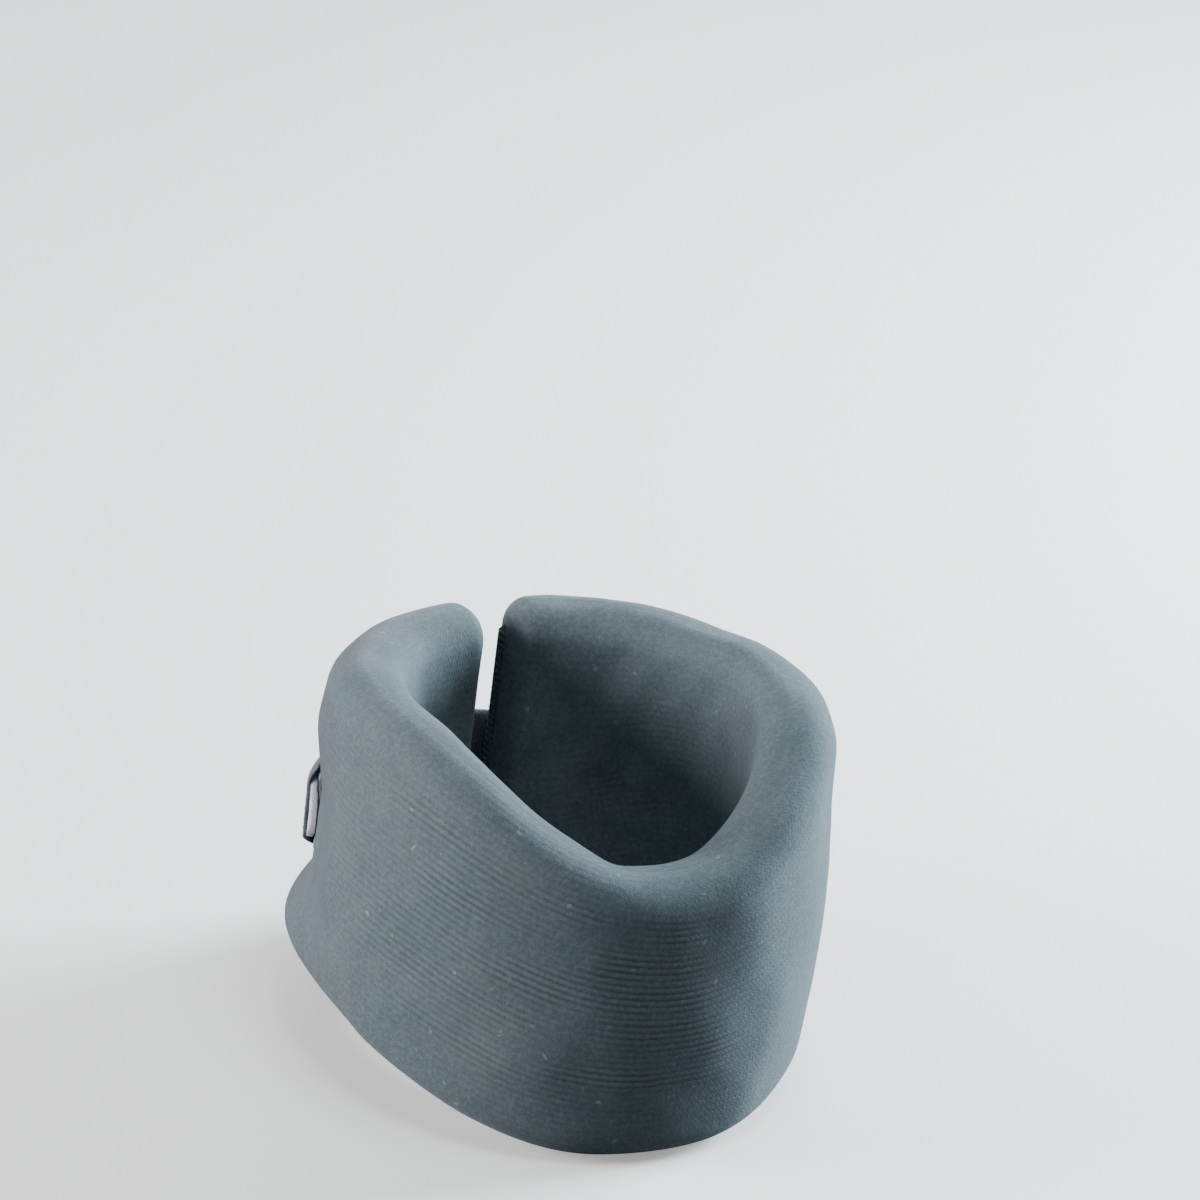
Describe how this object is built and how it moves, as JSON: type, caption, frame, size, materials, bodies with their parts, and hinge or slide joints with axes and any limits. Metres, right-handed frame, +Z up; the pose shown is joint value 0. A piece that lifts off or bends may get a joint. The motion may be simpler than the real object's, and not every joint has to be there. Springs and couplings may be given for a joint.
{
  "type": "cervical collar",
  "caption": "Soft cervical collar: a contoured foam band in a ribbed knit cover, closed behind the neck by a hook-and-loop strap that peels open.",
  "frame": {"origin": "middle of the neck opening, on the plane the collar stands on", "axes": "-Y towards the wearer's chin, +X towards the wearer's left, +Z up along the neck"},
  "size_m": [0.1376, 0.1472, 0.103],
  "materials": {
    "foam": "open-cell polyurethane foam, cream, matte",
    "rib_knit": "blue-grey cotton rib knit, matte and slightly fuzzy",
    "strap_webbing": "dark blue-grey woven strap backing, matte",
    "hook_tape": "pale moulded nylon hook tape, satin",
    "loop_tape": "brushed loop pile, matte",
    "thread": "dark blue-grey sewing thread",
    "label_tape": "blank white satin label"
  },
  "bodies": {
    "front": {"foam_front": "foam", "cover_front": "rib_knit"},
    "right_side": {"foam_right_side": "foam", "cover_right_side": "rib_knit", "loop_strip_side": "loop_tape", "loop_stitching_side": "thread", "care_label": "label_tape", "care_label_stitching": "thread"},
    "right_back": {"foam_right_back": "foam", "cover_right_back": "rib_knit", "right_end_seam": "thread", "loop_strip_back": "loop_tape", "loop_stitching_back": "thread"},
    "left_side": {"foam_left_side": "foam", "cover_left_side": "rib_knit"},
    "left_back": {"foam_left_back": "foam", "cover_left_back": "rib_knit", "left_end_seam": "thread", "strap_root": "strap_webbing", "strap_root_stitching": "thread"},
    "strap_lead": {"strap_lead": "strap_webbing"},
    "strap": {"strap_band": "strap_webbing", "hook_strip_band": "hook_tape", "band_stitching": "thread"},
    "strap_tip": {"strap_tip": "strap_webbing", "hook_strip_tip": "hook_tape", "tip_stitching": "thread"}
  },
  "joints": [
    {"name": "open_front_left", "type": "hinge", "parent": "front", "child": "left_side", "pos_m": [0.06486, -0.02493, 0.05], "axis": [0, 0, -1], "range_deg": [0, 35]},
    {"name": "open_rear_left", "type": "hinge", "parent": "left_side", "child": "left_back", "pos_m": [0.05276, 0.04675, 0.05], "axis": [0, 0, -1], "range_deg": [0, 35]},
    {"name": "open_front_right", "type": "hinge", "parent": "front", "child": "right_side", "pos_m": [-0.06486, -0.02493, 0.05], "axis": [0, 0, 1], "range_deg": [0, 35]},
    {"name": "open_rear_right", "type": "hinge", "parent": "right_side", "child": "right_back", "pos_m": [-0.05464, 0.04824, 0.05], "axis": [0, 0, 1], "range_deg": [0, 35]},
    {"name": "bend_strap", "type": "hinge", "parent": "left_back", "child": "strap_lead", "pos_m": [0.00678, 0.07012, 0.048], "axis": [0, 0, -1], "range_deg": [0, 60]},
    {"name": "peel_strap", "type": "hinge", "parent": "strap_lead", "child": "strap", "pos_m": [-0.00136, 0.07183, 0.049], "axis": [0, 0, -1], "range_deg": [0, 110]},
    {"name": "peel_tip", "type": "hinge", "parent": "strap", "child": "strap_tip", "pos_m": [-0.04898, 0.05144, 0.053], "axis": [0, 0, -1], "range_deg": [0, 70]}
  ],
  "couplings": [
    {"joint": "open_rear_left", "follows": "open_front_left", "ratio": 1},
    {"joint": "open_front_right", "follows": "open_front_left", "ratio": 1},
    {"joint": "open_rear_right", "follows": "open_front_left", "ratio": 1},
    {"joint": "bend_strap", "follows": "open_front_left", "ratio": 1.7}
  ]
}
